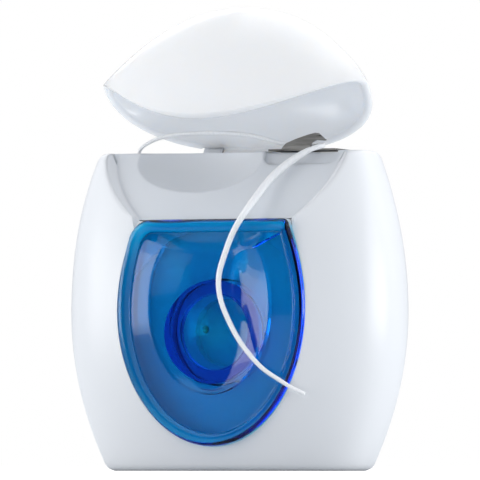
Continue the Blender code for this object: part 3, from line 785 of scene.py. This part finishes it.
# ---------------------------------------------------------------- placing a finished piece
def place(ob, name, mat, body, node, angle=32.0, turn=None):
    """Clean one piece, turn it where it rests, scale it to metres, colour it and let it stand for its CAD node."""
    bm = bmesh.new()
    bm.from_mesh(ob.data)
    bmesh.ops.remove_doubles(bm, verts=bm.verts, dist=0.003)
    bmesh.ops.dissolve_degenerate(bm, edges=bm.edges, dist=0.001)
    bmesh.ops.triangulate(bm, faces=[f for f in bm.faces if len(f.verts) > 4])
    bm.to_mesh(ob.data)
    bm.free()
    if turn is not None:
        ob.data.transform(turn)
    ob.data.transform(Matrix.Scale(MM, 4))
    ob.name = name
    ob.data.name = name
    ob.data.materials.clear()
    ob.data.materials.append(mat)
    ob.data.shade_smooth()
    ob.data.set_sharp_from_angle(angle=math.radians(angle))
    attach(ob, body)
    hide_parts(node)
    return ob


# ---------------------------------------------------------------- the free floss: a loosely twisted thread
ROUTE = [
    (-16.4, 0.5, 46.4),
    (-16.2, 0.4, 48.0),
    (-15.0, 0.1, 48.95),
    (-12.8, 0.0, 49.8),
    (-8.6, -0.4, 50.35),
    (-3.7, -0.9, 50.4),
    (1.1, -1.4, 50.1),
    (4.4, -1.8, 49.5),
    (7.6, -2.2, 48.6),
    (11.0, -2.35, 48.2),
    (13.7, -2.45, 48.15),
    (14.7, -3.2, 48.15),
    (13.9, -4.2, 47.8),
    (11.5, -5.4, 46.45),
    (8.5, -7.2, 43.75),
    (6.7, -9.6, 40.55),
    (5.4, -12.05, 37.55),
    (4.2, -12.5, 35.35),
    (2.8, -12.95, 31.5),
    (2.1, -13.05, 29.0),
    (2.1, -13.1, 26.5),
    (2.55, -13.1, 24.6),
    (3.6, -13.1, 22.2),
    (5.15, -13.05, 19.4),
    (6.95, -12.95, 17.05),
    (8.9, -12.75, 15.05),
    (11.4, -12.4, 13.35),
    (13.05, -12.05, 12.3),
    (14.95, -11.4, 11.3),
]


def thread(name, points, radius_at, lobes=5, depth=0.07, pitch=3.2, sides=30):
    """Tube with a softly lobed section that turns along the path; ends are closed."""
    pts = [Vector(p) for p in points]
    loops = []
    tangent = (pts[1] - pts[0]).normalized()
    side = tangent.orthogonal().normalized()
    run = 0.0
    for i, p in enumerate(pts):
        a, b = pts[max(i - 1, 0)], pts[min(i + 1, len(pts) - 1)]
        new = (b - a).normalized()
        side = tangent.rotation_difference(new) @ side
        side = (side - new * side.dot(new)).normalized()
        tangent = new
        other = tangent.cross(side)
        if i:
            run += (p - pts[i - 1]).length
        twist = 2 * math.pi * run / pitch
        r0 = radius_at(i / (len(pts) - 1))
        loop = []
        for k in range(sides):
            t = 2 * math.pi * k / sides
            r = r0 * (1 - depth + depth * abs(math.cos(lobes * (t + twist) / 2)) * 1.2)
            loop.append(p + side * (r * math.cos(t)) + other * (r * math.sin(t)))
        loops.append(loop)
    first, last = pts[0] - (pts[1] - pts[0]) * 0.2, pts[-1] + (pts[-1] - pts[-2]) * 0.4
    return loft_with_tips(name, loops, first, last)


def strand_radius(f):
    """Pulled tight in the arc, spread where it comes round the tooth, and thinner towards the loose end."""
    stops = [(0.0, 0.27), (0.36, 0.28), (0.42, 0.40), (0.47, 0.56), (0.55, 0.55), (0.66, 0.44), (0.8, 0.38), (1.0, 0.30)]
    for (f0, r0), (f1, r1) in zip(stops, stops[1:]):
        if f <= f1:
            t = (f - f0) / (f1 - f0)
            return r0 + (r1 - r0) * t * t * (3 - 2 * t)
    return stops[-1][1]


route = smooth_route(ROUTE, 0.33)
strand_piece = thread("strand", route, strand_radius)
strand_piece = place(strand_piece, "floss_thread", FLOSS_MAT, "case", "floss_strand", 60.0)

# ---------------------------------------------------------------- case shells and top insert
envelope = case_envelope("envelope")
boolean(envelope, scoop_prism("scoop", scoop_levels()))
boolean(envelope, finger_dip("dip"))

under = clone(envelope, "under")
under.data.transform(Matrix.Translation(PLATE_SHIFT))

plate = clone(envelope, "plate")
region = deck_region("region", WALL + 0.15, 45.0, 50.0)
boolean(region, scoop_prism("panel", [(-5.5, 0.0), (3.0, 0.0)], 13, -3.1, 14.2), "UNION")
boolean(plate, region, "INTERSECT")
boolean(plate, under)
boolean(plate, box("below", (-30, -20, 30), (30, -4, 37.2)))

cavity_levels = [(1.5, WALL + 0.7), (2.3, WALL), (6.0, WALL), (11.0, WALL), (16.0, WALL), (21.0, WALL), (26.0, WALL)]
cavity_levels += [(31.0, WALL), (35.0, WALL), (39.0, WALL), (42.5, WALL), (46.0, WALL)]
cavity = loft("cavity", [case_ring(z, inset) for z, inset in cavity_levels])
boolean(cavity, scoop_prism("flank", [(-1.6, 1.5), (6.5, 1.5 + 6.5 * SCOOP_DRAFT)], 11, -0.6, 14.4))
shell = envelope
boolean(shell, cavity)
boolean(shell, deck_region("deck_hole", WALL - 0.15, 45.4, 50.0))
boolean(shell, scoop_prism("panel_hole", [(-6.0, -0.02), (4.0, -0.02)], 13, -0.3, 14.3))
boolean(shell, loft("window_hole", [window_loop(-HAIRLINE * 1.6, -16.0), window_loop(-HAIRLINE * 1.6, -4.0)]))
boolean(shell, box("hinge_hole", (-9.4, 8.9, 45.75), (9.4, 14.0, 50.0)))

front = clone(shell, "front")
boolean(front, box("rear_half", (-40, SEAM_Y - GAP / 2, -5), (40, 40, 60)))
back = shell
boolean(back, box("front_half", (-40, -40, -5), (40, SEAM_Y + GAP / 2, 60)))
post = turned_y(
    "post",
    [(POST_BORE_R, POST_END_Y), (HUB_R, POST_END_Y), (HUB_R, 11.6), (POST_BORE_R, 11.6)],
    AXIS_Z,
    96,
)
boolean(back, post, "UNION")
web = [[(x, y, z) for x, _, z in hub_loop(POST_BORE_R + 0.5, 0.0)] for y in POST_WEB_Y]
boolean(back, loft("web", web), "UNION")
slot = [[(-3.9 + 0.7 * math.cos(2 * math.pi * k / 24), y, 21.1 + 0.8 * math.sin(2 * math.pi * k / 24)) for k in range(24)] for y in (-5.2, -2.6)]
boolean(back, loft("slot", slot))
ledge = loft(
    "ledge",
    [
        window_loop(-0.9, LEDGE_Y[0], taper_flange=True),
        window_loop(-0.9, LEDGE_Y[1], taper_flange=True),
        window_loop(1.35, LEDGE_Y[1]),
        window_loop(1.35, LEDGE_Y[0]),
    ],
    closed_tube=True,
)
boolean(front, ledge, "UNION")

# shelf in front of the spool, seen through the window outside the spool's rim
shelf = loft("shelf", [case_ring(z, WALL - 0.4) for z in SHELF_LEVELS])
boolean(shelf, box("slab", (-40, SHELF_Y[0], -5), (40, SHELF_Y[1], 60)), "INTERSECT")
boolean(shelf, loft("shelf_hole", [[(x, y, z) for x, _, z in hub_loop(SHELF_R, 0.0)] for y in (-12.0, -5.0)]))
boolean(front, shelf, "UNION")

boolean(plate, rod_x("barrel_room", -5.95, 5.95, HINGE_Y, HINGE_Z, KNUCKLE_R + GAP, 40))
for side in (-1, 1):
    x0, x1 = sorted((side * KNUCKLE_X[0], side * KNUCKLE_X[1]))
    boolean(plate, rod_x("knuckle", x0, x1, HINGE_Y, HINGE_Z, KNUCKLE_R, 40), "UNION")
boolean(plate, rod_x("pin_hole", -9.6, 9.6, HINGE_Y, HINGE_Z, PIN_R + 0.2, 40))
boolean(plate, scoop_block("front_pocket", 5.6, 17.4, 9.35, 14.0, -0.5, 3.0))
boolean(plate, box("seat", (5.6, -8.0, 47.12), (17.0, 3.0, 49.0)))
boolean(plate, rod_z("floss_hole", HOLE[0], HOLE[1], 44.0, 50.0, HOLE_R, 40))

place(front, "case_shell_front", CASE_MAT, "case", "case_front")
place(back, "case_shell_back", BACK_MAT, "case", "case_back")
place(plate, "top_deck", TOP_SHADED_MAT, "case", "top_insert")

# ---------------------------------------------------------------- window insert
rim_y = WIN_RIM_Y
loops = [dish_loop(k / 22) for k in range(1, 21)]
loops += [dish_loop(f) for f in (0.935, 0.96, 0.985)]
loops += [
    edge_loop(1.0, 0.03),
    edge_loop(1.02, 0.07),
    edge_loop(1.05, 0.12),
    groove_loop(2.0, rim_y + 0.65),
    groove_loop(1.9, rim_y + 0.62),
    window_loop(1.5, rim_y + 0.15),
    window_loop(1.3, rim_y + 0.03),
    window_loop(0.75, rim_y),
    window_loop(0.4, rim_y + 0.05),
    window_loop(0.15, rim_y + 0.22),
    window_loop(0.0, rim_y + 0.5),
    window_loop(0.0, rim_y + 0.6),
    window_loop(0.06, rim_y + 0.68),
    window_loop(1.2, rim_y + 1.42),
    window_loop(1.4, rim_y + 1.47),
    window_loop(2.1, rim_y + 1.85),
    edge_loop(1.0, 1.25),
]
loops += [
    dish_loop(0.95, 1.2),
    hub_loop(HUB_R),
    hub_loop(HUB_R - 0.25, HUB_END_Y),
    hub_loop(HUB_BORE_R, HUB_END_Y),
    hub_loop(HUB_BORE_R - 0.1),
    hub_loop(HUB_BORE_R * 0.75, back=1.15),
    hub_loop(HUB_BORE_R * 0.5, back=0.85),
    hub_loop(HUB_BORE_R * 0.25, back=0.55),
]
insert = loft_with_tips("insert", loops, (0, dish_front(0, WIN_MID_Z), WIN_MID_Z), (0, dish_front(0, AXIS_Z) + 0.45, AXIS_Z))
place(insert, "window_clear", BLUE_MAT, "case", "window_insert", 27.0)

# ---------------------------------------------------------------- spool and wound floss
y0, y1 = SPOOL_Y
spool = turned_y(
    "spool_body",
    [
        (SPOOL_BORE_R, y0),
        (SPOOL_R - 0.2, y0),
        (SPOOL_R, y0 + 0.2),
        (SPOOL_R, y0 + FLANGE - 0.2),
        (SPOOL_R - 0.2, y0 + FLANGE),
        (SPOOL_CORE_R, y0 + FLANGE),
        (SPOOL_CORE_R, y1 - FLANGE),
        (SPOOL_R - 0.2, y1 - FLANGE),
        (SPOOL_R, y1 - FLANGE + 0.2),
        (SPOOL_R, y1 - 0.2),
        (SPOOL_R - 0.2, y1),
        (SPOOL_BORE_R, y1),
    ],
    AXIS_Z,
    120,
)
place(spool, "spool_core", SPOOL_MAT, "spool", "spool")
low_y, high_y = y0 + FLANGE + GAP, y1 - FLANGE - GAP
turns = 14
profile = [(SPOOL_CORE_R + GAP, low_y)]
for k in range(turns * 6 + 1):
    f = k / (turns * 6)
    edge = min(f, 1 - f) * (high_y - low_y)
    r = WOUND_R - 0.5 * max(0.0, 1 - edge / 0.9) ** 2
    r -= 0.16 * (1 - abs(math.sin(math.pi * turns * f)))
    profile.append((r, low_y + f * (high_y - low_y)))
profile.append((SPOOL_CORE_R + GAP, high_y))
wound = turned_y("wound", profile, AXIS_Z, 120)
place(wound, "floss_turns", WOUND_MAT, "spool", "floss_winding", 70.0)

# ---------------------------------------------------------------- lid
steps = [0.02, 0.05, 0.09, 0.13, 0.18, 0.24, 0.3, 0.36, 0.42, 0.48, 0.55, 0.62, 0.68, 0.74, 0.8, 0.85, 0.9, 0.94, 0.97, 0.99]
FINE = 180
outer = [lid_loop(f, 0.0, FINE) for f in steps]
inner = [lid_loop(f, LID_WALL, FINE) for f in steps]
edge_out, edge_in = lid_loop(0.0, 0.0, FINE), lid_loop(0.0, LID_WALL, FINE)
rounded = []
for k in range(1, 6):
    a = math.pi * k / 6
    f = (1 - math.cos(a)) / 2
    loop = []
    for p, q in zip(edge_in, edge_out):
        # the roll of the edge is shallower at the back, where the rim closes onto the deck
        drop = (0.12 + 0.33 * min(max((3.0 - q[1]) / 5.0, 0.0), 1.0)) * math.sin(a)
        loop.append((p[0] + (q[0] - p[0]) * f, p[1] + (q[1] - p[1]) * f, p[2] + (q[2] - p[2]) * f - drop))
    rounded.append(loop)
lid = loft_with_tips(
    "lid_shell",
    list(reversed(inner)) + rounded + outer,
    (0, LID_PEAK_Y, DECK_Z + LID_LIFT + LID_HEIGHT - LID_WALL),
    (0, LID_PEAK_Y, DECK_Z + LID_LIFT + LID_HEIGHT),
)
for side in (-1, 1):
    x0, x1 = sorted((side * BARREL_HALF, side * (KNUCKLE_X[1] + 0.35)))
    boolean(lid, rod_x("knuckle_room", x0, x1, HINGE_Y, HINGE_Z, KNUCKLE_R + GAP, 40))
boolean(lid, rod_x("barrel", -BARREL_HALF, BARREL_HALF, HINGE_Y, HINGE_Z, KNUCKLE_R, 40), "UNION")
boolean(lid, rod_x("pins", -(KNUCKLE_X[1] - 0.3), KNUCKLE_X[1] - 0.3, HINGE_Y, HINGE_Z, PIN_R, 30), "UNION")
hinge = Vector((0, HINGE_Y, HINGE_Z))
opened = Matrix.Translation(hinge) @ Matrix.Rotation(math.radians(-LID_OPEN_DEG), 4, "X") @ Matrix.Translation(-hinge)
place(lid, "lid_cover", LID_MAT, "lid", "lid", 40.0, opened)

# ---------------------------------------------------------------- materials of the CAD nodes that stay
for name, mat in (("cutter", STEEL_MAT), ("floss_feed", WOUND_MAT)):
    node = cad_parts[name]
    node.data.materials.clear()
    node.data.materials.append(mat)

# ---------------------------------------------------------------- floor, world and lights
floor_mesh = bpy.data.meshes.new("floor")
bm = bmesh.new()
bmesh.ops.create_circle(bm, cap_ends=True, segments=96, radius=3.0)
bm.to_mesh(floor_mesh)
bm.free()
floor = bpy.data.objects.new("floor", floor_mesh)
floor.location = (0, 0, -0.0002)
bpy.context.scene.collection.objects.link(floor)
fm = Mat("floor_pale")
fm.link(fm.ramp(fm.noise(8.0, 2.0), [(0.3, (0.98, 0.95, 0.92)), (0.7, (1.0, 0.97, 0.94))]), fm.bsdf.inputs["Base Color"])
fm.set(Roughness=0.9, Emission_Strength=0.25)
fm.bsdf.inputs["Emission Color"].default_value = (1.0, 1.0, 1.0, 1.0)
dim = fm.node("ShaderNodeBsdfDiffuse")
dim.inputs["Color"].default_value = (0.55, 0.57, 0.59, 1.0)
seen = fm.node("ShaderNodeLightPath")
pick = fm.node("ShaderNodeMixShader")
fm.link(seen.outputs["Is Camera Ray"], pick.inputs["Fac"])
fm.link(dim.outputs["BSDF"], pick.inputs[1])
fm.link(fm.bsdf.outputs["BSDF"], pick.inputs[2])
fm.link(pick.outputs[0], fm.tree.nodes["Material Output"].inputs["Surface"])
floor_mesh.materials.append(fm.mat)

# The studio is one soft tent: brightest above and to both sides of the camera's line, dimmer along it and below.
world = bpy.data.worlds.new("studio")
bpy.context.scene.world = world
world.use_nodes = True
wt = world.node_tree
TENT_BASE = (0.615, 0.66, 0.725)
TENT_SIDES = (0.22, 0.21, 0.20)
TENT_UP = (0.385, 0.375, 0.36)
TENT_BEHIND = (-0.48, -0.52, -0.57)


def world_vector(op, a, b):
    n = wt.nodes.new("ShaderNodeVectorMath")
    n.operation = op
    for k, v in enumerate((a, b)):
        if isinstance(v, tuple):
            n.inputs[k].default_value = v
        else:
            wt.links.new(v, n.inputs[k])
    return n


def world_scaled(colour, factor):
    n = wt.nodes.new("ShaderNodeVectorMath")
    n.operation = "SCALE"
    n.inputs[0].default_value = colour
    wt.links.new(factor, n.inputs["Scale"])
    return n.outputs["Vector"]


TENT_FRONT = math.radians(-6.0)
direction = wt.nodes.new("ShaderNodeTexCoord").outputs["Generated"]
across = world_vector("DOT_PRODUCT", direction, (math.cos(CAM_AZ), math.sin(CAM_AZ), 0.0)).outputs["Value"]
square = wt.nodes.new("ShaderNodeMath")
square.operation = "MULTIPLY"
wt.links.new(across, square.inputs[0])
wt.links.new(across, square.inputs[1])
parts = wt.nodes.new("ShaderNodeSeparateXYZ")
wt.links.new(direction, parts.inputs[0])
total = world_vector("ADD", world_scaled(TENT_SIDES, square.outputs[0]), TENT_BASE).outputs["Vector"]
total = world_vector("ADD", total, world_scaled(TENT_UP, parts.outputs["Z"])).outputs["Vector"]
behind = world_vector("DOT_PRODUCT", direction, (-math.sin(CAM_AZ), math.cos(CAM_AZ), 0.0)).outputs["Value"]


def world_math(op, a, b=None):
    n = wt.nodes.new("ShaderNodeMath")
    n.operation = op
    for k, v in enumerate((a, b)):
        if isinstance(v, (int, float)):
            n.inputs[k].default_value = v
        elif v is not None:
            wt.links.new(v, n.inputs[k])
    return n.outputs[0]


behind = world_math("MAXIMUM", behind, 0.0)
level = world_math("SUBTRACT", 1.0, world_math("MULTIPLY", parts.outputs["Z"], parts.outputs["Z"]))
behind = world_math("MULTIPLY", world_math("MULTIPLY", behind, behind), world_math("MULTIPLY", level, level))
total = world_vector("ADD", total, world_scaled(TENT_BEHIND, behind)).outputs["Vector"]
total = world_vector("MAXIMUM", total, (0.06, 0.06, 0.07)).outputs["Vector"]
ahead = world_vector("DOT_PRODUCT", direction, (math.sin(TENT_FRONT), -math.cos(TENT_FRONT), 0.0)).outputs["Value"]
fade = wt.nodes.new("ShaderNodeMapRange")
fade.interpolation_type = "SMOOTHSTEP"
fade.inputs["From Min"].default_value = math.cos(math.radians(44.0))
fade.inputs["From Max"].default_value = math.cos(math.radians(30.0))
fade.inputs["To Min"].default_value = 1.0
fade.inputs["To Max"].default_value = 0.10
wt.links.new(ahead, fade.inputs["Value"])
dimmed = wt.nodes.new("ShaderNodeVectorMath")
dimmed.operation = "SCALE"
wt.links.new(total, dimmed.inputs[0])
wt.links.new(fade.outputs["Result"], dimmed.inputs["Scale"])
total = dimmed.outputs["Vector"]
background = wt.nodes["Background"]
wt.links.new(total, background.inputs["Color"])
background.inputs["Strength"].default_value = 1.0
plain = wt.nodes.new("ShaderNodeBackground")
plain.inputs["Color"].default_value = (1.0, 1.0, 1.0, 1.0)
plain.inputs["Strength"].default_value = 1.0
path = wt.nodes.new("ShaderNodeLightPath")
mix = wt.nodes.new("ShaderNodeMixShader")
wt.links.new(path.outputs["Is Camera Ray"], mix.inputs["Fac"])
wt.links.new(background.outputs[0], mix.inputs[1])
wt.links.new(plain.outputs[0], mix.inputs[2])
wt.links.new(mix.outputs[0], wt.nodes["World Output"].inputs["Surface"])


def area(name, place_at, look_at, size_x, size_y, power, colour=(1.0, 1.0, 1.0)):
    data = bpy.data.lights.new(name, "AREA")
    data.shape = "RECTANGLE"
    data.size, data.size_y = size_x, size_y
    data.energy = power
    data.color = colour
    ob = bpy.data.objects.new(name, data)
    ob.location = place_at
    ob.rotation_euler = (Vector(look_at) - Vector(place_at)).to_track_quat("-Z", "Y").to_euler()
    bpy.context.scene.collection.objects.link(ob)
    return ob


RIGHT = Vector((math.cos(CAM_AZ), math.sin(CAM_AZ), 0.0))
NEAR = Vector((math.sin(CAM_AZ), -math.cos(CAM_AZ), 0.0))
UP = Vector((0, 0, 1))
area("side_left", RIGHT * -0.6 + NEAR * 0.14 + UP * 0.10, (0, 0, 0.03), 0.40, 0.55, 1.22, (1.0, 0.995, 0.985))
area("low_left", RIGHT * -0.35 + NEAR * 0.08 + UP * 0.03, (0, 0, 0.01), 0.30, 0.16, 0.32, (1.0, 0.995, 0.985))
area("side_right", RIGHT * 0.57 + NEAR * 0.24 + UP * 0.08, (0, 0, 0.03), 0.40, 0.45, 0.60, (1.0, 0.995, 0.985))
area("low_right", RIGHT * 0.33 + NEAR * 0.14 + UP * 0.03, (0, 0, 0.01), 0.25, 0.10, 0.40, (1.0, 0.995, 0.985))
area("top_soft", (0.0, 0.3, 0.75), (0, 0, 0.04), 0.5, 0.5, 1.2, (1.0, 1.0, 1.0))
area("back_soft", NEAR * -0.5 + UP * 0.4, (0, 0, 0.03), 0.5, 0.3, 0.85, (1.0, 1.0, 1.0))

bpy.context.scene.view_settings.view_transform = "Standard"
bpy.context.scene.view_settings.look = "None"
